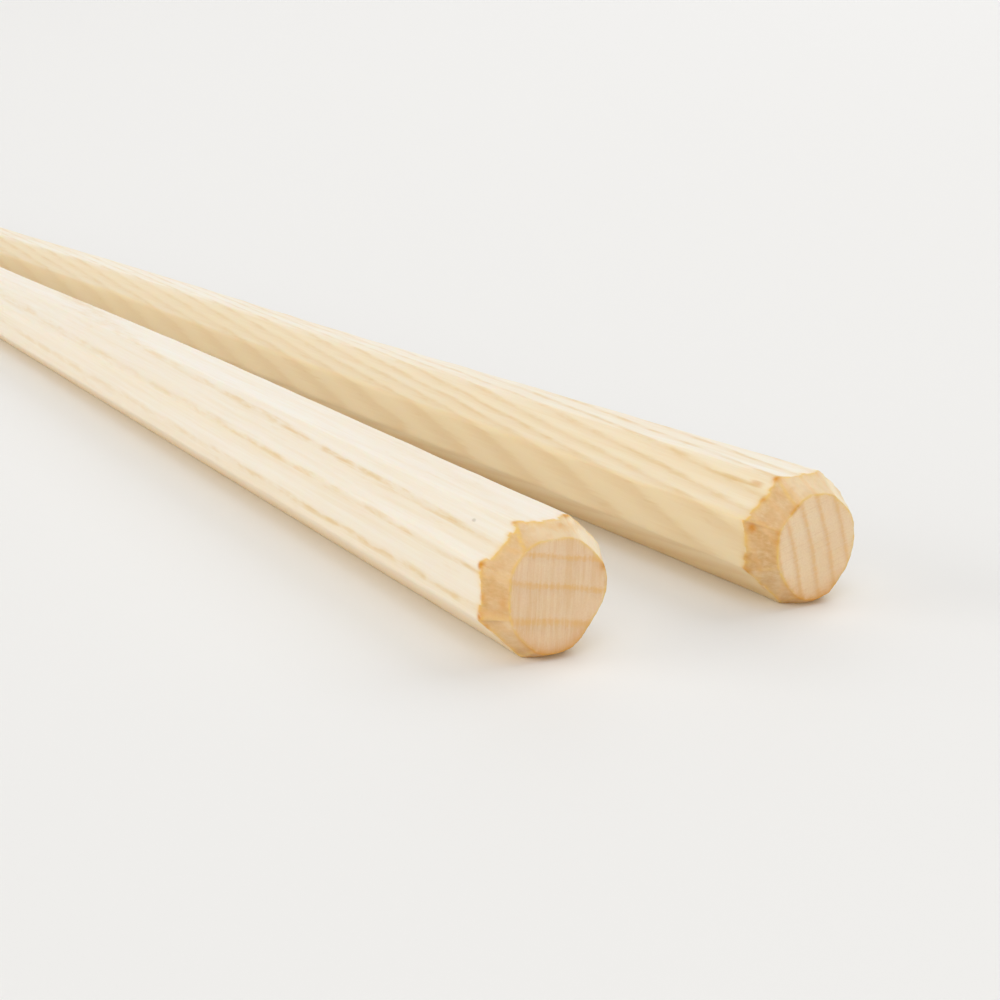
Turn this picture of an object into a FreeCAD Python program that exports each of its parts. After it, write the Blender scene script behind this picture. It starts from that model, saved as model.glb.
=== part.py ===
import FreeCAD, Part
import math
import os

# A pair of hand-shaped wooden chopsticks, lying side by side with their tips together.
#
# Each stick is one piece of wood. Its shaft is a long eight-sided taper. The flats were planed by hand, so
# they lie at slightly different distances from the middle, and the arrises between them are eased. The taper
# isn't quite straight: the left stick swells a little along the way, and the right one is a little hollow.
# The underside of each is straight, and the stick rests on it.
# The thick end, or butt, was pared all round with a knife, which left an almost round end face and a band of
# eight short facets whose upper edges dip a little in the middle of each flat. The thin end, or tip, is
# rounded off.
#
# Millimetres. +Y runs from the butts to the tips, +X from the left stick to the right one, and +Z is up.
# The origin is on the surface that the sticks lie on, under the middle of the pair's outline.

# Driving dimensions shared by both sticks
stick_length = 230.0
butt_arris_radius = 0.35
tip_arris_radius = 0.75
tip_face_radius = 0.85
tip_rounding_length = 1.3
underside_planing = 0.05

# Driving dimensions of how the two sticks lie
butt_spacing = 19.2
tip_gap = 0.4
right_stagger = 1.1

# Left stick. Each tuple goes round the flats, counter-clockwise seen from the tip's side, from the one that
# faces +X. It says how far the plane or the knife went in beyond the even octagon, or stayed out, below zero.
left_thickness = 8.0
left_tip_thickness = 3.2
left_planed = (0.0, -0.23, 0.0, -0.06, 0.04, 0.01, 0.0, 0.0)
left_butt_inset = 0.74
left_pared_length = 1.7
left_pared_extra = (0.02, 0.26, 0.0, -0.08, 0.13, 0.15, 0.03, 0.48)
left_butt_corner_radius = 1.95
left_bow = 0.2
left_bow_centre = 60.0
left_bow_reach = 55.0

# Right stick
right_thickness = 8.0
right_tip_thickness = 2.8
right_planed = (0.0, 0.0, 0.0, 0.01, -0.07, 0.08, 0.0, 0.0)
right_butt_inset = 0.9
right_pared_length = 1.7
right_pared_extra = (0.2, 0.1, 0.0, 0.14, 0.16, 0.08, -0.1, 0.3)
right_butt_corner_radius = 1.85
right_bow = -0.18
right_bow_centre = 60.0
right_bow_reach = 55.0

# How finely a shaft is drawn along its length
shaft_stations = 12

# An octagon's turn from one flat to the next
flat_count = 8
flat_turn = 2 * math.pi / flat_count
half_turn = flat_turn / 2
underside = 6


def flat_normal(index):
    """The outward direction of a flat, in a section's own x and z."""
    angle = index * flat_turn
    return FreeCAD.Vector(math.cos(angle), 0, math.sin(angle))


def flat_run(index):
    """The direction along a flat's edge, counter-clockwise, in a section's own x and z."""
    angle = index * flat_turn
    return FreeCAD.Vector(-math.sin(angle), 0, math.cos(angle))


def corner(index, distances):
    """The point where a flat and the next one cross, for flats at these distances from the middle."""
    near = distances[index]
    far = distances[(index + 1) % flat_count]
    along = (far - near * math.cos(flat_turn)) / math.sin(flat_turn)
    return flat_normal(index) * near + flat_run(index) * along


def octagon(distances, corner_radius, middle):
    """A closed outline of eight straight flats joined by tangent arcs, about a middle point."""
    setback = corner_radius * math.tan(half_turn)
    crown = corner_radius / math.cos(half_turn) - corner_radius
    edges = []
    for index in range(flat_count):
        before = corner(index - 1, distances) + flat_run(index) * setback
        point = corner(index, distances)
        bisector = (flat_normal(index) + flat_normal(index + 1)).normalize()
        start = point - flat_run(index) * setback
        end = point + flat_run(index + 1) * setback
        edges.append(Part.makeLine(middle + before, middle + start))
        arc = Part.Arc(middle + start, middle + point - bisector * crown, middle + end)
        edges.append(arc.toShape())
    return Part.Wire(edges)


def bow_at(y, height, centre, reach):
    """How much thicker a shaft is at y than a straight taper: one smooth hump that fades out at its reach."""
    offset = abs(y - centre) / reach
    if offset >= 1:
        return 0.0
    return height * (1 + math.cos(math.pi * offset)) / 2


def shaft(thickness, tip_thickness, planed, bow):
    """The whole length of a stick with square-cut ends and its butt at y = 0, before its underside is trued."""
    sections = []
    for station in range(shaft_stations + 1):
        share = station / shaft_stations
        y = stick_length * share
        half = (thickness * (1 - share) + tip_thickness * share + bow_at(y, *bow)) / 2
        scale = 2 * half / thickness
        distances = [half - cut * scale for cut in planed]
        distances[underside] += underside_planing
        arris = butt_arris_radius * (1 - share) + tip_arris_radius * share
        sections.append(octagon(distances, arris, FreeCAD.Vector(0, y, half)))
    return Part.makeLoft(sections, True, False)


def pared_cone(thickness, planed, inset, pared_length, extra, corner_radius):
    """The eight-sided cone that the knife followed round the butt, carried on along the whole stick."""
    half = thickness / 2
    slope = inset / pared_length
    end_distances = [half - cut - inset - more for cut, more in zip(planed, extra)]
    widening = slope * stick_length
    far_distances = [distance + widening for distance in end_distances]
    end = octagon(end_distances, corner_radius, FreeCAD.Vector(0, 0, half))
    far = octagon(far_distances, corner_radius, FreeCAD.Vector(0, stick_length, half))
    return Part.makeLoft([end, far], True, True)


def bench():
    """The space below z = 0, which planes the underside true."""
    width = 2 * max(left_thickness, right_thickness)
    corner_point = FreeCAD.Vector(-width / 2, -width, -width)
    return Part.makeBox(width, stick_length + 2 * width, width, corner_point)


def tip_shavings(thickness, tip_thickness, planed):
    """The ring of wood that rounding takes off the tip, from its furthest arris inwards."""
    half = tip_thickness / 2
    stand_out = -min(planed) * tip_thickness / thickness
    outer = (half + stand_out) / math.cos(half_turn)
    low = stick_length - tip_rounding_length
    beyond = stick_length + tip_rounding_length
    sweep = math.radians(45)
    bulge_x = tip_face_radius + (outer - tip_face_radius) * math.sin(sweep)
    bulge_y = low + tip_rounding_length * math.sin(sweep)
    points = [
        FreeCAD.Vector(tip_face_radius, stick_length, half),
        FreeCAD.Vector(outer, low, half),
        FreeCAD.Vector(2 * outer, low, half),
        FreeCAD.Vector(2 * outer, beyond, half),
        FreeCAD.Vector(tip_face_radius, beyond, half),
    ]
    edges = [Part.Arc(points[0], FreeCAD.Vector(bulge_x, bulge_y, half), points[1]).toShape()]
    edges += [Part.makeLine(a, b) for a, b in zip(points[1:], points[2:] + points[:1])]
    profile = Part.Face(Part.Wire(edges))
    return profile.revolve(FreeCAD.Vector(0, 0, half), FreeCAD.Vector(0, 1, 0), 360)


def stick(thickness, tip_thickness, planed, inset, pared_length, extra, corner_radius, bow):
    """One finished chopstick, standing on z = 0 with the middle of its butt over the origin."""
    blank = shaft(thickness, tip_thickness, planed, bow).cut(bench())
    pared = blank.common(pared_cone(thickness, planed, inset, pared_length, extra, corner_radius))
    return pared.cut(tip_shavings(thickness, tip_thickness, planed)).Solids[0]


def lay_down(piece, x, y, lean):
    """Turns a stick about its butt by a lean in radians, towards +X, and moves the butt to x and y."""
    piece.rotate(FreeCAD.Vector(0, 0, 0), FreeCAD.Vector(0, 0, 1), -math.degrees(lean))
    piece.translate(FreeCAD.Vector(x, y, 0))


def pair():
    """Both sticks, with their butts apart and their tips side by side, about the pair's own middle."""
    left = stick(
        left_thickness, left_tip_thickness, left_planed, left_butt_inset, left_pared_length,
        left_pared_extra, left_butt_corner_radius, (left_bow, left_bow_centre, left_bow_reach))
    right = stick(
        right_thickness, right_tip_thickness, right_planed, right_butt_inset, right_pared_length,
        right_pared_extra, right_butt_corner_radius, (right_bow, right_bow_centre, right_bow_reach))
    tip_spacing = (left_tip_thickness + right_tip_thickness) / 2 + tip_gap
    lean = math.asin((butt_spacing - tip_spacing) / 2 / stick_length)
    lay_down(left, -butt_spacing / 2, 0, lean)
    lay_down(right, butt_spacing / 2, right_stagger, -lean)
    box = Part.Compound([left, right]).optimalBoundingBox(False, False)
    to_origin = FreeCAD.Vector(-(box.XMin + box.XMax) / 2, -(box.YMin + box.YMax) / 2, 0)
    left.translate(to_origin)
    right.translate(to_origin)
    return {"left_chopstick": left, "right_chopstick": right}


os.makedirs("parts", exist_ok=True)
for name, solid in pair().items():
    solid.exportStep("parts/" + name + ".step")
    print(name, "solid", solid.isValid(), "volume mm3", round(solid.Volume, 1), "faces", len(solid.Faces))
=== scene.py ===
import math

import bpy
import numpy as np
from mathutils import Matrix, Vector, noise
from mathutils.bvhtree import BVHTree


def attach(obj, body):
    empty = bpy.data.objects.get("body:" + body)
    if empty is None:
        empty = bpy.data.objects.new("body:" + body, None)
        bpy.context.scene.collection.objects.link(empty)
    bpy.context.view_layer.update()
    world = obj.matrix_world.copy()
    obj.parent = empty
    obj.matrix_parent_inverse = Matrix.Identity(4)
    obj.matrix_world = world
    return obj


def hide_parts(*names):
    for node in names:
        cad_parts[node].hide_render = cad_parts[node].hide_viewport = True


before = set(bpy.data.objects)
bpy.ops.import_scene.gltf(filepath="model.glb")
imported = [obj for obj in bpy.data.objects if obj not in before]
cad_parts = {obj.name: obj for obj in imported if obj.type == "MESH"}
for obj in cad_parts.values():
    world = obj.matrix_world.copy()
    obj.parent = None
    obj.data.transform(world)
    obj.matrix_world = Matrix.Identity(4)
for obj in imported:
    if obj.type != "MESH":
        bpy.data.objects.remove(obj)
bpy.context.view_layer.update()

# The finish of a pair of hand-shaped wooden chopsticks.
# Each stick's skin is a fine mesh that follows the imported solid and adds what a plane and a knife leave
# behind: flats that waver a little, torn fibres where the butt was pared, a rough end face, and small burrs
# on its edges.
# The wood is one solid pattern of growth rings, rays and pores, laid out in millimetres along each stick, so
# the lines on the flats run on into the end grain.
# Lengths are in millimetres unless a comment says otherwise. Directions round a stick are angles from the
# side that faces +X, by way of the top.

MM = 0.001
FULL_TURN = 2 * math.pi
FLATS = 8
FLAT_TURN = FULL_TURN / FLATS

# How finely the skin is drawn; each end is drawn in rings round a point on the axis, its eye
POINTS_PER_FLAT = 24
CORNER_CROWDING = 1.5
BUTT_EYE = 4.0
BUTT_RINGS = 100
TIP_EYE = 2.0
TIP_RINGS = 18
FINE_STEP = 0.1
SHAFT_STEP = 0.7
STEP_GROWTH = 0.05
FINE_LENGTH = 150.0
COARSE_STEP = 1.8

# How nearly a facet has to face along Y, as a cosine, to belong to an end face
END_FACING = 0.99

# Pairs of stations where the solid is measured, for the straight lines that its flats, its shaft beside the
# butt and its pared band follow
FLAT_STATIONS = (5.0, 150.0)
SHAFT_STATIONS = (3.0, 6.0)
PARED_STATIONS = (0.25, 0.95)

# How many neighbours on each side a measured distance is averaged with
SHAFT_SMOOTHING = 1
PARED_SMOOTHING = 3

# How freely each flat may leave the solid's own, from the one that faces +X; the seventh is the underside
FLAT_FREEDOM = (1.0, 1.0, 1.0, 1.0, 1.0, 0.4, 0.0, 0.4)

# What the plane left
WAVER_LENGTH = 17.0
CHATTER = 0.010
CHATTER_LENGTH = 2.3
SCOOP_LENGTH = 10.0
STROKE_WANDER_LENGTH = 31.0
ARRIS_SOFTNESS = 0.04

# What the knife left on the butt, where lengths round it are counted at one radius
BUTT_RADIUS = 4.0
KNIFE_FACET = 0.05
KNIFE_FACET_LENGTH = 1.3
TORN_FIBRE = 0.12
TORN_FIBRE_WIDTH = 0.42
TORN_FIBRE_REACH = 1.6
PARED_ROUGHNESS = 0.02
END_ROUGHNESS = 0.03
EDGE_SOFTNESS = 0.035
BURR = 0.035
RIDGE = 0.05
RIDGE_WIDTH = 0.13
RIDGE_LENGTH = 1.9

# How much nearer to the table the lower rim of the end face comes than in the solid; it comes in between
# two sines of the direction downwards
SEATED_RIM = 0.36
SEATED_SPAN = (0.25, 1.0)

# How far the brown of the edges, and the painted warm bounce light on the shaded lower rim, reach from them
EDGE_REACH = 0.09
RIM_BOUNCE_REACH = 0.4

# A pattern of its own for each kind of unevenness
NOISE_SEEDS = {
    "drift": 0, "stroke": 2, "slow": 3, "stroke_depth": 4, "chatter": 5, "facet": 11, "torn": 12,
    "pared": 13, "end": 14, "end_fine": 15, "burr": 16, "tan": 21,
}

# What each point of a skin tells its material: which cut it lies on (0 the planed shaft, 1 the pared band, 2
# the end face), how near an edge it is, how dark a mark is there, or the painted warm bounce light on the
# shaded lower rim, how brown the band is there, how far the point lies in the tan side, and how far it lies
# in the underside, which gets a painted warm shade
SKIN_VALUES = ("cut", "edge", "mark", "deep", "tan", "under")

# The first three of these on the shaft and the tip
PLANED = (0.0, 0.0, 0.0)

# How brown the pared band is on each facet, from the one that faces +X
BAND_DEPTH = (0.0, 0.0, 0.44, 0.78, 1.0, 0.78, 0.9, 0.0)

# The tan side, in degrees: it deepens across the arris beside the top flat and again across the next one
# down, which wanders, and ends just past the underside
TAN_UPPER_ARRIS = (104, 124)
TAN_LOWER_ARRIS = (154.5, 159.5)
TAN_SHARES = (0.58, 0.42)
TAN_WANDER = 4.0
TAN_WANDER_LENGTH = 9.0
TAN_END = (300, 330)

# The sines of the direction downwards between which the underside's painted warm shade comes in
UNDER_SHADE_SPAN = (0.2, 0.85)

# Where in a ring's cycle its line lies
RING_LINE = 0.8

# How far towards the pith the rings go on getting closer
CLOSER_REACH = 3.0

# Between which stations the ring lines grow faint, and the plane's hollows and the summer bands with them
RING_FADE = (22.0, 60.0)
FAR_FADE = (35.0, 110.0)

# The wood's noise patterns: cycles per millimetre across the grain and along it, detail and roughness, and
# for some of them the two limits between which they fade from nothing to full
PATTERNS = {
    "wander": (0.16, 0.016, 2.0, 0.5),
    "ripple": (0.8, 0.16, 2.0, 0.5),
    "fibre": (5.0, 0.1, 4.0, 0.65),
    "streak": (0.9, 0.018, 2.0, 0.5, 0.3, 0.7),
    "stripes": (2.6, 0.05, 2.0, 0.5, 0.50, 0.68),
    "dashes": (1.6, 0.28, 3.0, 0.6, 0.38, 0.66),
    "flecks": (2.8, 0.35, 2.0, 0.6, 0.60, 0.74),
    "cloud": (0.35, 0.09, 2.0, 0.5, 0.3, 0.7),
    "speckle": (8.0, 1.0, 2.0, 0.7, 0.35, 0.75),
    "mottle": (1.1, 0.8, 3.0, 0.55, 0.40, 0.66),
    "graze": (0.9, 0.5, 2.0, 0.5, 0.50, 0.72),
    "fray": (1.5, 0.9, 3.0, 0.6, 0.30, 0.58),
    "tooth": (12.0, 2.0, 2.0, 0.6),
}

# Camera, from a pinhole fit to the photograph
CAMERA_PLACE = (-78.517, -230.101, 45.50)
CAMERA_HEADING = 29.587
CAMERA_TILT = 15.05
CAMERA_LENS = 87.94
SENSOR_WIDTH = 36.0

# Lights, in metres and watts; each is turned from the camera's heading and raised, in degrees
SOFTBOX_SIZE = 1.0
SOFTBOX_DISTANCE = 1.5
SOFTBOX_AIM = (0, -0.07, 0)
NEUTRAL = (1.0, 1.0, 1.0)
WARM = (1.0, 0.965, 0.90)
SOFTBOXES = (
    ("overhead", 0, 90, 3.7, NEUTRAL),
    ("behind", 0, 15, 2.4, NEUTRAL),
    ("key", 45, 45, 6.7, NEUTRAL),
    ("front", 180, 45, 5.0, WARM),
    ("low_front", 165, 9, 2.8, WARM),
    ("left", 268, 15, 9.1, WARM),
)
WORLD_COLOUR = (1.0, 0.995, 0.985, 1)
WORLD_STRENGTH = 0.4

# The table top, in metres
TABLE_HALF_WIDTH = 3.0
TABLE_DROP = 0.00001
# The colour is lowered to make up for the painted warm glow, which lifts and warms the table's shadows
TABLE_COLOUR = (0.778, 0.805, 0.830, 1)
TABLE_GLOW = (0.080, 0.052, 0.024, 1)


def polar_angles():
    """The directions round a stick in which its skin is drawn, crowded together at the arrises."""
    angles = []
    for flat in range(FLATS):
        for point in range(POINTS_PER_FLAT):
            side = 2 * point / POINTS_PER_FLAT - 1
            offset = math.copysign(abs(side) ** CORNER_CROWDING, side)
            angles.append((flat + (1 + offset) / 2) * FLAT_TURN)
    return angles


def turn_from(degrees, angle):
    """The turn from a direction in degrees to an angle, the short way round."""
    return math.remainder(angle - math.radians(degrees), FULL_TURN)


def eased(value, low, high):
    """A value's place between two limits, eased and clamped."""
    share = min(1.0, max(0.0, (value - low) / (high - low)))
    return share * share * (3 - 2 * share)


def smooth_least(values, softness):
    """The least of several distances, rounded off where two of them come close."""
    least = min(values)
    total = sum(math.exp((least - value) / softness) for value in values)
    return least - softness * math.log(total)


def around(values, width):
    """Values round a closed ring, each averaged with its neighbours."""
    values = np.array(values)
    total = sum(np.roll(values, shift) for shift in range(-width, width + 1))
    return total / (2 * width + 1)


def straight_line(stations, distances):
    """The line through the distances at two stations, as (distance at station 0, slope)."""
    near, far = stations
    slope = (distances[1] - distances[0]) / (far - near)
    return distances[0] - near * slope, slope


class Stick:
    """A packed stick and the lie of its wood: y runs from the butt to the tip, and z is up."""

    def __init__(self, name, seed, look):
        self.name = name
        self.seed = seed
        self.look = look
        self.marks = []
        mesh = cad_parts[name].data
        self.tree = BVHTree.FromPolygons(
            [v.co / MM for v in mesh.vertices], [p.vertices for p in mesh.polygons])
        butt, outward = self.end_face(mesh, -1)
        tip, _ = self.end_face(mesh, 1)
        self.along = -Vector((outward.x, outward.y, 0)).normalized()
        self.across = Vector((self.along.y, -self.along.x, 0))
        self.butt = Vector((butt.x, butt.y, 0))
        self.length = (tip - butt).dot(self.along)
        self.butt_height = butt.z
        self.tip_height = tip.z
        self.flat_lines = []
        for flat in range(FLATS):
            distances = [self.reach(station, flat * FLAT_TURN) for station in FLAT_STATIONS]
            self.flat_lines.append(straight_line(FLAT_STATIONS, distances))

    def end_face(self, mesh, side):
        """The middle and the direction of a square end, from the facets that face along the stick."""
        middle = Vector()
        outward = Vector()
        area = 0.0
        for facet in mesh.polygons:
            if facet.normal.y * side > END_FACING:
                middle += facet.center * (facet.area / MM)
                outward += facet.normal * facet.area
                area += facet.area
        return middle / area, outward.normalized()

    def noise(self, kind, *place):
        """Smooth noise from -1 to 1 at a place, in a pattern of its own for each stick and kind."""
        seed = self.seed + NOISE_SEEDS[kind]
        return noise.noise(Vector(place) + Vector((seed * 17.3, seed * 5.1, seed * 11.7)))

    def step_noise(self, kind, place, width):
        """Noise that jumps from one fibre bundle to the next, with bundles of uneven width."""
        place += 0.6 * width * self.noise(kind, place / width * 0.7, 0.0, 4.0)
        bundle = math.floor(place / width)
        part = min(1.0, (place / width - bundle) * 6)
        before, after = (self.noise(kind, index * 1.37, 9.0, 2.0) for index in (bundle - 1, bundle))
        return 1.8 * (before + (after - before) * part)

    def world(self, across, along, up):
        """A point of the stick's own frame, in the row frame in millimetres."""
        return self.butt + self.across * across + self.along * along + Vector((0, 0, up))

    def axis_height(self, along):
        """The height of the stick's axis at a station."""
        share = along / self.length
        return self.butt_height * (1 - share) + self.tip_height * share

    def reach(self, along, angle, lean=0.0):
        """How far the surface of the solid lies from the axis, in a direction that leans to the tip."""
        flat = math.cos(lean)
        heading = (self.across * (math.cos(angle) * flat) + self.along * math.sin(lean)
                   + Vector((0, 0, math.sin(angle) * flat)))
        origin = self.world(0, along, self.axis_height(along))
        return self.tree.ray_cast(origin, heading)[3]

    def scoop(self, along, flat):
        """How far one flat stands proud: a row of shallow hollows, one for each stroke of the plane."""
        wander = self.noise("stroke", along / STROKE_WANDER_LENGTH, flat * 3.7, 0.0)
        stroke = along / SCOOP_LENGTH + 0.5 * wander + flat * 0.37
        part = stroke - math.floor(stroke)
        depth = 1 + 0.9 * self.noise("stroke_depth", math.floor(stroke) * 1.7, flat * 2.3, 1.0)
        fading = 1 - 0.5 * eased(along, *FAR_FADE)
        hollow = self.look["scoop"] * depth * (0.67 - 4 * part * (1 - part)) * fading
        drift = self.look["waver"] * self.noise("drift", along / WAVER_LENGTH, flat * 3.7, 0.0)
        return (hollow + drift) * FLAT_FREEDOM[flat]

    def waver(self, along, angle):
        """How far the surface stands proud of the solid, as the plane left it, arrises and all."""
        middle = round(angle / FLAT_TURN)
        true = []
        planed = []
        for index in (middle - 1, middle, middle + 1):
            start, slope = self.flat_lines[index % FLATS]
            distance = start + slope * along
            facing = math.cos(angle - index * FLAT_TURN)
            true.append(distance / facing)
            planed.append((distance + self.scoop(along, index % FLATS)) / facing)
        lift = smooth_least(planed, ARRIS_SOFTNESS) - smooth_least(true, ARRIS_SOFTNESS)
        x, z = math.cos(angle), math.sin(angle)
        slow = self.look["waver"] * self.noise("slow", along / (2 * WAVER_LENGTH), x * 1.3, z * 1.3)
        fine = CHATTER * self.noise("chatter", along / CHATTER_LENGTH, x * 5, z * 5)
        resting = min(1.0, 1.3 * max(0.0, -z) ** 2)
        return lift + (slow + fine) * (1 - resting)


def butt_lines(stick, angles):
    """For each direction, the straight lines that the shaft and the pared band follow, as (start, slope)."""
    lines = []
    for stations, smoothing in ((SHAFT_STATIONS, SHAFT_SMOOTHING), (PARED_STATIONS, PARED_SMOOTHING)):
        distances = [np.array([stick.reach(station, angle) for angle in angles]) for station in stations]
        start, slope = straight_line(stations, distances)
        lines.append(list(zip(around(start, smoothing), around(slope, smoothing))))
    return lines


def place_marks(stick, angles, shaft, pared):
    """Puts the dark marks at their places on the butt's edges, each as (middle, size, strength)."""
    for degrees, edge, inwards, size, strength in stick.look["marks"]:
        index = min(range(len(angles)), key=lambda i: abs(turn_from(degrees, angles[i])))
        start, slope = shaft[index]
        pared_start, pared_slope = pared[index]
        station = (start - pared_start) / (pared_slope - slope) if edge == "shaft" else 0.0
        station += inwards
        radius = pared_start + pared_slope * station
        angle = math.radians(degrees)
        middle = Vector((radius * math.cos(angle), station, radius * math.sin(angle)))
        stick.marks.append((middle, size, strength))


def ridge_share(stick, angle, station, radius):
    """How much of a ridge between two knife facets lies at a point of the pared band, from 0 to 1."""
    ridge = 0.0
    for degrees, lean, strength in stick.look["ridges"]:
        crest = degrees + lean * max(0.0, 1 - station / RIDGE_LENGTH)
        beside = turn_from(crest, angle) * radius
        ridge = max(ridge, strength * math.exp(-(beside / RIDGE_WIDTH) ** 2))
    return ridge


def nick_depth(stick, angle):
    """How deep the knife nicked the upper edge of the pared band in a direction."""
    depth = 0.0
    for degrees, width, deepest in stick.look["nicks"]:
        beside = math.degrees(turn_from(degrees, angle))
        depth += deepest * math.exp(-(beside / width) ** 4)
    return depth


def knife_lift(stick, angle, station, x, z):
    """How far the pared band stands proud: uneven facets, torn fibres, the lower rim and the nicks."""
    facet = KNIFE_FACET * stick.noise("facet", x / KNIFE_FACET_LENGTH, station / 3, z / KNIFE_FACET_LENGTH)
    toward_flat = min(1.0, max(0.0, station / TORN_FIBRE_REACH)) ** 2
    torn = TORN_FIBRE * stick.step_noise("torn", angle * BUTT_RADIUS, TORN_FIBRE_WIDTH)
    torn *= 0.12 + 0.88 * toward_flat
    fine = PARED_ROUGHNESS * stick.noise("pared", x * 4, station * 1.5, z * 4)
    seat = SEATED_RIM * eased(-math.sin(angle), *SEATED_SPAN)
    return facet + torn + fine + seat - nick_depth(stick, angle) * toward_flat


def mark_and_rim_bounce_share(stick, angle, point, rim_gap):
    """How dark the butt is at a point: its edge marks, and painted warm bounce on the shaded lower rim."""
    # The lower rim lies in shade; its brown here is painted warm bounce light from the table
    underneath = min(1.0, max(0.0, -math.sin(angle) * 2.5 - 1.4))
    mark = 0.8 * underneath * math.exp(-rim_gap / RIM_BOUNCE_REACH)
    for middle, size, strength in stick.marks:
        mark = max(mark, min(1.0, strength * math.exp(-((point - middle).length / size) ** 2)))
    return mark


def butt_point(stick, angle, view, shaft, pared):
    """A point of the butt in a view from its eye, as (distance, cut, edge, mark)."""
    sine, cosine = math.sin(view), math.cos(view)

    def hits(shaft_lift, pared_lift, end_lift):
        """How far away the shaft, the pared band and the end face are."""
        return (
            (shaft[0] + shaft_lift + shaft[1] * BUTT_EYE) / (sine + shaft[1] * cosine),
            (pared[0] + pared_lift + pared[1] * BUTT_EYE) / (sine + pared[1] * cosine),
            (BUTT_EYE - end_lift) / max(cosine, 0.001),
        )

    # Where the view meets the true cuts, and what the tools left there
    first = min(hits(0.0, 0.0, 0.0))
    radius = first * sine
    station = BUTT_EYE - first * cosine
    x = radius * math.cos(angle)
    z = radius * math.sin(angle)
    ridge = ridge_share(stick, angle, station, radius)
    band = knife_lift(stick, angle, station, x, z) + RIDGE * ridge
    end = END_ROUGHNESS * stick.noise("end", x / 1.1, 0.0, z / 1.1)
    end += 0.3 * END_ROUGHNESS * stick.noise("end_fine", x * 3, 5.0, z * 3)

    # Where it meets the cuts with all that on them
    values = hits(stick.waver(station, angle), band, end)
    softness = EDGE_SOFTNESS / 2
    least, second = sorted(values)[:2]
    weights = [math.exp((least - value) / softness) for value in values]
    cut = (weights[1] + 2 * weights[2]) / sum(weights)
    edge = math.exp(-(second - least) / EDGE_REACH)
    burr = BURR * edge * (0.5 + stick.noise("burr", x * 2.2, station * 1.2, z * 2.2))
    distance = smooth_least(values, softness) + max(0.0, burr)
    edge = max(edge, ridge * weights[1] / sum(weights))
    radius = distance * sine
    point = Vector((radius * math.cos(angle), BUTT_EYE - distance * cosine, radius * math.sin(angle)))
    return distance, cut, edge, mark_and_rim_bounce_share(stick, angle, point, abs(values[2] - values[1]))


def butt_rings(stick, angles):
    """The rings of the butt, from the middle of its end face to the shaft."""
    shaft, pared = butt_lines(stick, angles)
    place_marks(stick, angles, shaft, pared)
    rings = []
    for ring in range(BUTT_RINGS):
        view = math.pi / 2 * (ring + 1) / BUTT_RINGS
        points = []
        for angle, shaft_line, pared_line in zip(angles, shaft, pared):
            distance, *cut_values = butt_point(stick, angle, view, shaft_line, pared_line)
            points.append((distance * math.sin(view), BUTT_EYE - distance * math.cos(view), *cut_values))
        rings.append((BUTT_EYE, points))
    return rings


def shaft_rings(stick, angles):
    """The rings of the shaft, which lie close together near the butt and further apart beyond."""
    rings = []
    along = BUTT_EYE
    step = FINE_STEP
    while along + step < stick.length - TIP_EYE:
        along += step
        step = min(SHAFT_STEP, step + STEP_GROWTH) if along < FINE_LENGTH else COARSE_STEP
        reach = around([stick.reach(along, angle) for angle in angles], SHAFT_SMOOTHING)
        points = [(r + stick.waver(along, a), along, *PLANED) for r, a in zip(reach, angles)]
        rings.append((along, points))
    return rings


def tip_rings(stick, angles):
    """The rings of the tip, from the shaft to the middle of its end."""
    rings = []
    along = stick.length - TIP_EYE
    for ring in range(TIP_RINGS):
        lean = math.pi / 2 * ring / TIP_RINGS
        reach = around([stick.reach(along, angle, lean) for angle in angles], SHAFT_SMOOTHING)
        points = []
        for distance, angle in zip(reach, angles):
            lift = stick.waver(along, angle) * math.cos(lean)
            radius = (distance + lift) * math.cos(lean)
            points.append((radius, along + distance * math.sin(lean), *PLANED))
        rings.append((along, points))
    return rings


def band_depth(angle):
    """How brown the pared band is in a direction: even over each facet, and changing fast at the ridges."""
    turns = angle / FLAT_TURN
    facet = math.floor(turns)
    before, after = BAND_DEPTH[facet % FLATS], BAND_DEPTH[(facet + 1) % FLATS]
    return before + (after - before) * eased(turns - facet, 0.3, 0.7)


def tan_share(stick, angle, along):
    """How far a direction lies in the tan side of the stick."""
    degrees = math.degrees(angle) % 360
    wander = TAN_WANDER * stick.noise("tan", along / TAN_WANDER_LENGTH, 0.0, 0.0)
    low, high = TAN_LOWER_ARRIS
    upper = TAN_SHARES[0] * eased(degrees, *TAN_UPPER_ARRIS)
    lower = TAN_SHARES[1] * eased(degrees, low + wander, high + wander)
    return (upper + lower) * (1 - eased(degrees, *TAN_END))


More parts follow.
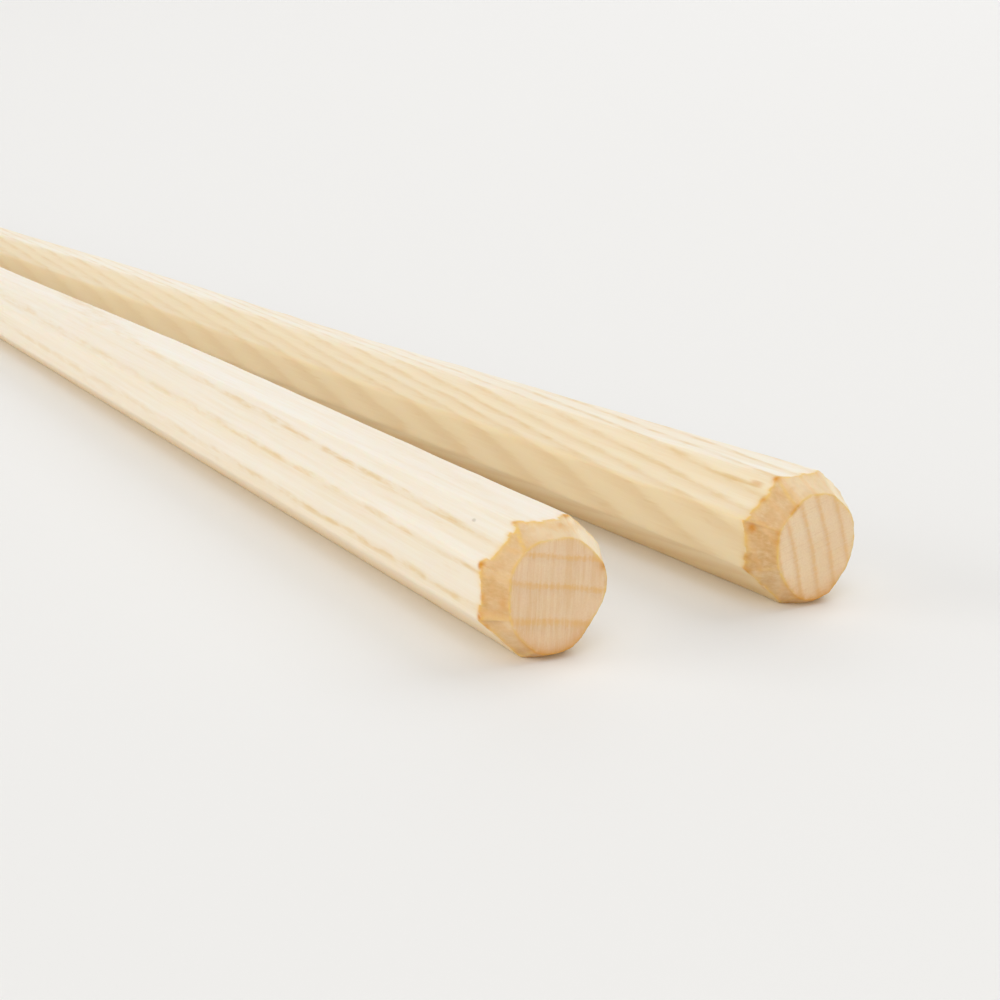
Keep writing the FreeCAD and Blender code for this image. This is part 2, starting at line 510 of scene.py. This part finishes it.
def build_skin(stick):
    """The stick's visible mesh, in the row frame."""
    angles = polar_angles()
    count = len(angles)
    vertices = []
    values = {name: [] for name in SKIN_VALUES}

    def add(radius, angle, eye, along, cut, edge, mark):
        """Adds a point at a radius from the axis, whose height is the one at the eye's station."""
        height = stick.axis_height(eye)
        point = stick.world(radius * math.cos(angle), along, height + radius * math.sin(angle))
        vertices.append((point.x * MM, point.y * MM, max(0.0, point.z) * MM))
        tan = tan_share(stick, angle, along)
        # How far the direction faces down, for the painted warm shade on the undersides
        under = eased(-math.sin(angle), *UNDER_SHADE_SPAN)
        for name, value in zip(SKIN_VALUES, (cut, edge, mark, band_depth(angle), tan, under)):
            values[name].append(value)

    add(0.0, 0.0, BUTT_EYE, 0.0, 2.0, 0.0, 0.0)
    for eye, points in butt_rings(stick, angles) + shaft_rings(stick, angles) + tip_rings(stick, angles):
        for angle, (radius, along, *cut_values) in zip(angles, points):
            add(radius, angle, eye, along, *cut_values)
    add(0.0, 0.0, stick.length, stick.length, *PLANED)

    # A fan over each end, and quads between the rings
    faces = []
    last = len(vertices) - 1
    last_ring = last - count
    following = [*range(1, count), 0]
    for index, after in enumerate(following):
        faces.append((0, 1 + index, 1 + after))
    for start in range(1, last_ring, count):
        beyond = start + count
        for index, after in enumerate(following):
            faces.append((start + index, beyond + index, beyond + after, start + after))
    for index, after in enumerate(following):
        faces.append((last_ring + index, last, last_ring + after))

    mesh = bpy.data.meshes.new(stick.name + "_skin")
    mesh.from_pydata(vertices, [], faces)
    mesh.shade_smooth()
    for name, column in values.items():
        attribute = mesh.attributes.new(name, "FLOAT", "POINT")
        attribute.data.foreach_set("value", column)
    mesh.validate()
    piece = bpy.data.objects.new(stick.name + "_skin", mesh)
    bpy.context.scene.collection.objects.link(piece)
    return piece


class Graph:
    """A material's node tree, with short ways to add the nodes that these materials need."""

    def __init__(self, name):
        self.material = bpy.data.materials.new(name)
        self.material.use_nodes = True
        self.tree = self.material.node_tree
        self.tree.nodes.clear()

    def add(self, kind, inputs=None, **settings):
        node = self.tree.nodes.new("ShaderNode" + kind)
        for name, value in settings.items():
            setattr(node, name, value)
        for key, value in (inputs or {}).items():
            self.put(node.inputs[key], value)
        return node

    def put(self, socket, value):
        if isinstance(value, bpy.types.NodeSocket):
            self.tree.links.new(value, socket)
        else:
            socket.default_value = value

    def math(self, operation, first, second=0.0, third=0.0):
        node = self.add("Math", operation=operation)
        for socket, value in zip(node.inputs, (first, second, third)):
            self.put(socket, value)
        return node.outputs[0]

    def times(self, first, second):
        return self.math("MULTIPLY", first, second)

    def times_plus(self, first, second, added):
        return self.math("MULTIPLY_ADD", first, second, added)

    def minus(self, first, second):
        return self.math("SUBTRACT", first, second)

    def scaled(self, vector, scale):
        return self.add("VectorMath", {0: vector, 1: scale}, operation="MULTIPLY").outputs[0]

    def noise(self, vector, scale, detail, roughness):
        """Noise from 0 to 1 whose size along each axis is set by a scale vector."""
        place = self.scaled(vector, scale)
        inputs = {"Vector": place, "Scale": 1.0, "Detail": detail, "Roughness": roughness}
        return self.add("TexNoise", inputs).outputs["Fac"]

    def span(self, value, low, high, to_low=0.0, to_high=1.0):
        """A value's place between two limits, eased and clamped."""
        inputs = {"Value": value, "From Min": low, "From Max": high, "To Min": to_low, "To Max": to_high}
        return self.add("MapRange", inputs, interpolation_type="SMOOTHSTEP").outputs[0]

    def blend(self, factor, first, second):
        """A mix of two colours."""
        node = self.add("Mix", data_type="RGBA", blend_type="MIX")
        self.put(node.inputs["Factor"], factor)
        self.put(node.inputs[6], first)
        self.put(node.inputs[7], second)
        return node.outputs[2]

    def surface(self, inputs):
        """Ends the tree with a shader that has these inputs."""
        shader = self.add("BsdfPrincipled", inputs)
        self.add("OutputMaterial", {"Surface": shader.outputs[0]})


class Wood(Graph):
    """Bare planed wood: growth rings, rays and streaks, and browner where the fibres were cut across."""

    def __init__(self, stick):
        super().__init__(stick.name + "_wood")
        self.look = stick.look
        self.lay_out(stick)
        self.grow_rings()
        self.draw_rays()
        self.draw_ring_lines()
        cut = self.skin["cut"]
        end_share = self.span(cut, 1.2, 1.8)
        tone = self.blend(self.span(cut, 0.2, 0.8), self.long_grain(), self.pared_grain())
        tone = self.blend(end_share, tone, self.end_grain())
        tone = self.specked(self.stained(tone))
        self.finish(tone, end_share)

    def pattern(self, name):
        """One of the wood's noise patterns, from 0 to 1."""
        across, along, detail, roughness, *limits = PATTERNS[name]
        value = self.noise(self.shifted, (across, along, across), detail, roughness)
        return self.span(value, *limits) if limits else value

    def tint(self, tone, mask, strength, shade):
        """A colour with one of the look's shades laid over it, as far as a mask and a strength say."""
        return self.blend(self.times(mask, strength), tone, self.look[shade])

    def lay_out(self, stick):
        """Finds a point's place in the stick, in millimetres, and what the skin says there."""
        heading = math.atan2(-stick.along.x, stick.along.y)
        place = {
            "Vector": self.add("TexCoord").outputs["Object"], "Location": stick.butt * MM,
            "Rotation": (0, 0, heading), "Scale": (MM, MM, MM)}
        self.point = self.add("Mapping", place, vector_type="TEXTURE").outputs[0]
        shift = (stick.seed * 13.0, stick.seed * 29.0, 0.0)
        self.shifted = self.add("VectorMath", {0: self.point, 1: shift}, operation="ADD").outputs[0]
        self.across, self.along, self.up = self.add("SeparateXYZ", {0: self.point}).outputs
        self.skin = {
            name: self.add("Attribute", attribute_name=name).outputs["Fac"] for name in SKIN_VALUES}

    def grow_rings(self):
        """Works out the distance from the pith, with the slow wander of real rings, and the season there."""
        look = self.look
        pith_x, pith_z = look["pith"]
        flat = self.scaled(self.point, (1, 0, 1))
        from_pith = self.add("VectorMath", {0: flat, 1: (pith_x, 0, pith_z)}, operation="DISTANCE")
        self.fibre = self.pattern("fibre")
        swings = (
            (self.pattern("wander"), look["wander"]),
            (self.pattern("ripple"), look["ripple"]),
            (self.fibre, look["wisp"]),
        )
        depth = self.times_plus(self.along, look["run_out"], from_pith.outputs["Value"])
        for swing, amount in swings:
            depth = self.times_plus(self.minus(swing, 0.5), amount, depth)
        past = self.minus(depth, look["first_ring"])
        outside = self.math("MAXIMUM", past, 0.0)
        inside = self.math("MAXIMUM", self.math("MINIMUM", past, 0.0), -CLOSER_REACH)
        beyond = self.math("MINIMUM", self.math("ADD", past, CLOSER_REACH), 0.0)
        year = self.times_plus(past, look["rings_per_mm"], RING_LINE)
        year = self.times_plus(self.times(outside, outside), look["closer_outside"], year)
        year = self.times_plus(self.times(inside, inside), -look["closer_inside"], year)
        year = self.times_plus(beyond, 2 * CLOSER_REACH * look["closer_inside"], year)
        self.depth = depth
        self.past = past
        self.season = self.math("FRACT", year)
        self.late = self.times(self.span(self.season, 0.15, 0.66), self.span(self.season, 0.90, 0.70))

    def draw_rays(self):
        """Draws the rays, which cross the rings, and the pores beside them."""
        tilt_x, tilt_z = self.look["ray_direction"]
        round_ring = self.times_plus(self.across, -tilt_z, self.times(self.up, tilt_x))
        inputs = {0: round_ring, 1: self.times(self.along, 0.5), 2: self.times(self.depth, 0.18)}
        place = self.add("CombineXYZ", inputs).outputs[0]
        self.rays = self.span(self.noise(place, (2.3, 0.8, 0.8), 5.0, 0.8), 0.42, 0.60)
        self.pores = self.span(self.noise(place, (7.5, 1.6, 1.6), 2.0, 0.7), 0.54, 0.72)

    def draw_ring_lines(self):
        """Draws each ring's line, broken into dashes on the flats and whole on the end face."""
        width = self.look["line_width"]
        last_ring = self.look["last_ring"]
        tan = self.skin["tan"]
        from_line = self.math("ABSOLUTE", self.minus(self.season, RING_LINE))
        self.line = self.span(from_line, 1.7 * width, 0.0)
        self.end_line = self.span(from_line, 1.5 * width, 0.1 * width)
        mark = self.times(self.line, self.times_plus(self.pattern("dashes"), 0.75, 0.25))
        mark = self.times(mark, self.span(self.along, *RING_FADE, 1.0, 0.55))
        mark = self.times(mark, self.span(self.past, last_ring + 0.3, last_ring, 0.2, 1.0))
        fading = self.times_plus(self.times(tan, tan), -self.look["line_fade"], 1.0)
        self.ring_mark = self.times(mark, fading)

    def long_grain(self):
        """The colour where the fibres run along the surface."""
        look = self.look
        tan = self.skin["tan"]
        tone = self.blend(self.pattern("streak"), look["pale"], look["cream"])
        tone = self.tint(tone, self.span(self.fibre, 0.35, 0.75), 0.22, "straw")
        tone = self.tint(tone, self.pattern("stripes"), 0.18, "straw")
        tone = self.tint(tone, tan, look["tan_share"], "tan")
        band_strength = self.times_plus(tan, look["tan_bands"], look["late_strength"])
        band_strength = self.times(band_strength, self.span(self.along, *FAR_FADE, 1.0, 0.5))
        tone = self.tint(tone, self.late, band_strength, "late")
        tone = self.tint(tone, self.ring_mark, look["ring_strength"], "ring")
        fleck = self.times(self.pattern("flecks"), self.math("MAXIMUM", self.late, self.line))
        tone = self.tint(tone, fleck, look["fleck_strength"], "ring")
        # A painted warm shade on the sides that face down, standing in for the table's warm bounce light
        return self.tint(tone, self.skin["under"], 0.5, "under")

    def end_grain(self):
        """The colour of the end face, where the fibres are cut square across."""
        look = self.look
        tone = self.blend(self.pattern("cloud"), look["end_pale"], look["end"])
        late = self.times(self.span(self.season, 0.42, 0.76), self.span(self.season, 0.88, 0.80))
        tone = self.tint(tone, late, 0.45, "end_late")
        tone = self.tint(tone, self.rays, look["ray_strength"], "end_ray")
        tone = self.tint(tone, self.pores, 0.4, "end_late")
        tone = self.tint(tone, self.pattern("speckle"), 0.25, "end_late")
        line_strength = self.times_plus(self.rays, -0.3, look["end_line_strength"])
        return self.tint(tone, self.end_line, line_strength, "end_line")

    def pared_grain(self):
        """The colour of the pared band, which is paler where the knife only grazed it."""
        deep = self.skin["deep"]
        tone = self.blend(deep, self.look["band_pale"], self.look["band"])
        tone = self.tint(tone, self.span(self.fibre, 0.3, 0.7), 0.35, "end_pale")
        tone = self.tint(tone, self.end_line, 0.35, "end_line")
        mottle = self.times(self.pattern("mottle"), self.times_plus(deep, 0.75, 0.25))
        tone = self.tint(tone, mottle, 0.4, "mottle")
        return self.tint(tone, self.pattern("graze"), 0.18, "band_pale")

    def stained(self, tone):
        """A colour with browned, frayed edges, their marks, and the painted warm bounce of the lower rim."""
        fray = self.pattern("fray")
        stain = self.times(self.skin["edge"], self.times_plus(fray, 0.8, 0.2))
        tone = self.tint(tone, stain, 0.9, "stain")
        # The mark colour also paints warm bounce light onto the shaded lower rim
        return self.tint(tone, self.skin["mark"], self.times_plus(fray, 0.25, 0.75), "mark")

    def specked(self, tone):
        """A colour with the stick's few specks, each a soft patch that is longer along the grain."""
        for middle, width, length, shade, strength in self.look["specks"]:
            off = self.add("VectorMath", {0: self.point, 1: middle}, operation="SUBTRACT").outputs[0]
            off = self.scaled(off, (1 / width, 1 / length, 1 / width))
            reach = self.add("VectorMath", {0: off}, operation="LENGTH").outputs["Value"]
            reach = self.times_plus(self.minus(self.fibre, 0.5), 1.2, reach)
            tone = self.blend(self.span(reach, 1.0, 0.2, 0.0, strength), tone, self.look[shade])
        return tone

    def finish(self, tone, end_share):
        """Ends the material with its relief and gloss."""
        grooves = self.times(self.ring_mark, self.minus(1.0, end_share))
        relief = self.times_plus(grooves, 0.25, self.times(self.fibre, 0.6))
        relief = self.times_plus(self.pattern("tooth"), 0.35, relief)
        relief = self.times_plus(self.rays, self.times(end_share, 0.5), relief)
        bump = self.add("Bump", {"Height": relief, "Strength": 0.35, "Distance": 0.00004})
        roughness = self.span(self.skin["cut"], 0.0, 1.0, 0.50, 0.74)
        roughness = self.times_plus(self.fibre, 0.16, self.minus(roughness, 0.08))
        self.surface({
            "Base Color": tone, "Roughness": roughness, "Normal": bump.outputs[0], "IOR": 1.45,
            "Specular IOR Level": 0.35, "Subsurface Weight": 0.25,
            "Subsurface Radius": (1.0, 0.5, 0.2), "Subsurface Scale": MM})


def colour(red, green, blue):
    """A colour given as it looks on a screen, 0 to 255, in the linear values that a shader takes."""
    linear = []
    for value in (red, green, blue):
        share = value / 255
        linear.append(share / 12.92 if share <= 0.04045 else ((share + 0.055) / 1.055) ** 2.4)
    return (*linear, 1.0)


# The shades that the two sticks share
PALE_WOOD = dict(
    # The second of these shades is the painted warm shade of the sides that face down
    ring=colour(223, 188, 120), under=colour(243, 210, 158), end_late=colour(224, 184, 140),
    end_ray=colour(246, 224, 195), band_pale=colour(250, 235, 204), band=colour(213, 171, 114),
    stain=colour(238, 197, 108), mottle=colour(216, 164, 98), mark=colour(214, 144, 46),
    speck=colour(176, 164, 146), knot=colour(222, 178, 118))

# What is each stick's own. A ridge is (degrees, lean in degrees, strength), a nick (degrees, width in
# degrees, depth), a mark (degrees, edge, distance towards the tip, size, strength) and a speck (middle,
# width, length, shade, strength).
LEFT_LOOK = dict(
    PALE_WOOD, pale=colour(246, 240, 230), cream=colour(244, 235, 220), straw=colour(235, 216, 184),
    late=colour(236, 212, 168), end_pale=colour(241, 210, 172), end=colour(234, 199, 156),
    end_line=colour(235, 189, 122), tan=colour(244, 224, 184),
    pith=(-11.0, -51.4), first_ring=54.79, last_ring=4.7, rings_per_mm=0.386, closer_outside=0.03,
    closer_inside=0.0, run_out=-0.002, wander=0.55, ripple=0.16, wisp=0.5, ray_direction=(0.06, 0.998),
    line_width=0.105, line_fade=0.0, tan_share=0.15, tan_bands=0.0, late_strength=0.17, ring_strength=0.7,
    fleck_strength=0.12, ray_strength=0.45, end_line_strength=0.72,
    waver=0.04, scoop=0.025,
    specks=(((-2.31, 5.88, 7.22), 0.17, 0.26, "speck", 0.45),),
    ridges=((112.5, 16.0, 1.0), (157.5, 0.0, 0.15), (202.5, 0.0, 0.2), (247.5, 0.0, 0.3), (67.5, 0.0, 0.2)),
    nicks=((111.0, 5.0, 0.30),),
    marks=(
        (112.5, "shaft", 0.3, 0.22, 0.9), (158.0, "shaft", -0.05, 0.23, 1.3),
        (184.0, "shaft", -0.10, 0.20, 0.9), (202.0, "shaft", -0.05, 0.28, 1.2),
        (66.0, "shaft", 0.0, 0.22, 0.9), (20.0, "end", 0.0, 0.28, 0.9),
        (2.0, "end", 0.0, 0.2, 0.5), (213.0, "shaft", -0.05, 0.25, 0.9),
        (222.0, "shaft", -0.05, 0.25, 0.7), (233.0, "shaft", -0.05, 0.25, 0.8),
        (186.0, "end", 0.45, 0.3, 0.5), (77.0, "shaft", -0.55, 0.22, 0.45)))
RIGHT_LOOK = dict(
    PALE_WOOD, pale=colour(245, 239, 226), cream=colour(243, 232, 212), straw=colour(232, 210, 168),
    late=colour(224, 188, 136), end_pale=colour(249, 224, 188), end=colour(244, 215, 176),
    end_line=colour(238, 196, 138), tan=colour(247, 226, 185),
    pith=(-48.0, -9.0), first_ring=47.99, last_ring=99.0, rings_per_mm=0.752, closer_outside=0.01,
    closer_inside=0.10, run_out=-0.085, wander=0.45, ripple=0.18, wisp=0.3, ray_direction=(0.965, 0.26),
    line_width=0.15, line_fade=0.8, tan_share=0.9, tan_bands=0.24, late_strength=0.08, ring_strength=0.66,
    fleck_strength=0.2, ray_strength=0.2, end_line_strength=0.65,
    waver=0.05, scoop=0.05,
    specks=(((-2.17, 3.3, 7.32), 0.30, 1.0, "knot", 0.68), ((-2.25, 5.6, 7.25), 0.24, 3.2, "ring", 0.6)),
    ridges=((112.5, 10.0, 0.6), (157.5, 0.0, 0.3), (202.5, 0.0, 0.3), (247.5, 0.0, 0.3)),
    nicks=((112.5, 5.0, 0.1),),
    marks=(
        (112.5, "shaft", 0.0, 0.26, 1.0), (163.0, "shaft", -0.45, 0.28, 1.2),
        (135.0, "shaft", 0.0, 0.2, 0.7), (203.0, "shaft", -0.15, 0.30, 0.8),
        (190.0, "shaft", -0.1, 0.22, 0.5), (228.0, "shaft", -0.1, 0.24, 0.6),
        (121.0, "end", 0.0, 0.16, 0.7), (126.0, "end", 0.02, 0.16, 0.8),
        (131.0, "end", 0.04, 0.16, 0.7), (160.0, "end", 0.1, 0.24, 0.5),
        (170.0, "end", 0.1, 0.24, 0.5)))


def dress(name, seed, look):
    """Gives a packed stick its visible skin and its wood."""
    stick = Stick(name, seed, look)
    piece = build_skin(stick)
    piece.data.materials.append(Wood(stick).material)
    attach(piece, "root")
    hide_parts(name)


def table_top():
    """A plain pale table top with a painted warm glow that lifts and warms the shadows on it."""
    half = TABLE_HALF_WIDTH
    corners = [(x, y, -TABLE_DROP) for x, y in ((-half, -half), (half, -half), (half, half), (-half, half))]
    mesh = bpy.data.meshes.new("table_top")
    mesh.from_pydata(corners, [], [(0, 1, 2, 3)])
    piece = bpy.data.objects.new("table_top", mesh)
    bpy.context.scene.collection.objects.link(piece)
    white = Graph("table_top_glowing")
    # Its emission is a painted warm glow that lifts and warms the shadows on the table
    white.surface({
        "Base Color": TABLE_COLOUR, "Roughness": 0.6, "Specular IOR Level": 0.2,
        "Emission Color": TABLE_GLOW, "Emission Strength": 1.0})
    mesh.materials.append(white.material)


def studio():
    """Even white surroundings and six wide soft lights."""
    scene = bpy.context.scene
    world = bpy.data.worlds.new("studio")
    world.use_nodes = True
    background = world.node_tree.nodes["Background"]
    background.inputs["Color"].default_value = WORLD_COLOUR
    background.inputs["Strength"].default_value = WORLD_STRENGTH
    scene.world = world
    aim = Vector(SOFTBOX_AIM)
    for name, turn, rise, watts, tint in SOFTBOXES:
        lamp = bpy.data.lights.new(name, "AREA")
        lamp.shape = "SQUARE"
        lamp.size = SOFTBOX_SIZE
        lamp.energy = watts
        lamp.color = tint
        holder = bpy.data.objects.new(name, lamp)
        heading = math.radians(CAMERA_HEADING + turn)
        rise = math.radians(rise)
        level = Vector((math.sin(heading), math.cos(heading), 0)) * math.cos(rise)
        holder.location = aim + (level + Vector((0, 0, math.sin(rise)))) * SOFTBOX_DISTANCE
        holder.rotation_euler = (aim - holder.location).to_track_quat("-Z", "Y").to_euler()
        scene.collection.objects.link(holder)
    scene.view_settings.view_transform = "Standard"
    scene.view_settings.look = "None"


def camera():
    """The photograph's viewpoint."""
    lens = bpy.data.cameras.new("camera")
    lens.lens = CAMERA_LENS
    lens.sensor_width = SENSOR_WIDTH
    lens.clip_start = 0.01
    holder = bpy.data.objects.new("camera", lens)
    holder.location = Vector(CAMERA_PLACE) * MM
    holder.rotation_euler = (math.radians(90 - CAMERA_TILT), 0, math.radians(-CAMERA_HEADING))
    bpy.context.scene.collection.objects.link(holder)
    bpy.context.scene.camera = holder


dress("left_chopstick", 1, LEFT_LOOK)
dress("right_chopstick", 2, RIGHT_LOOK)
table_top()
studio()
camera()
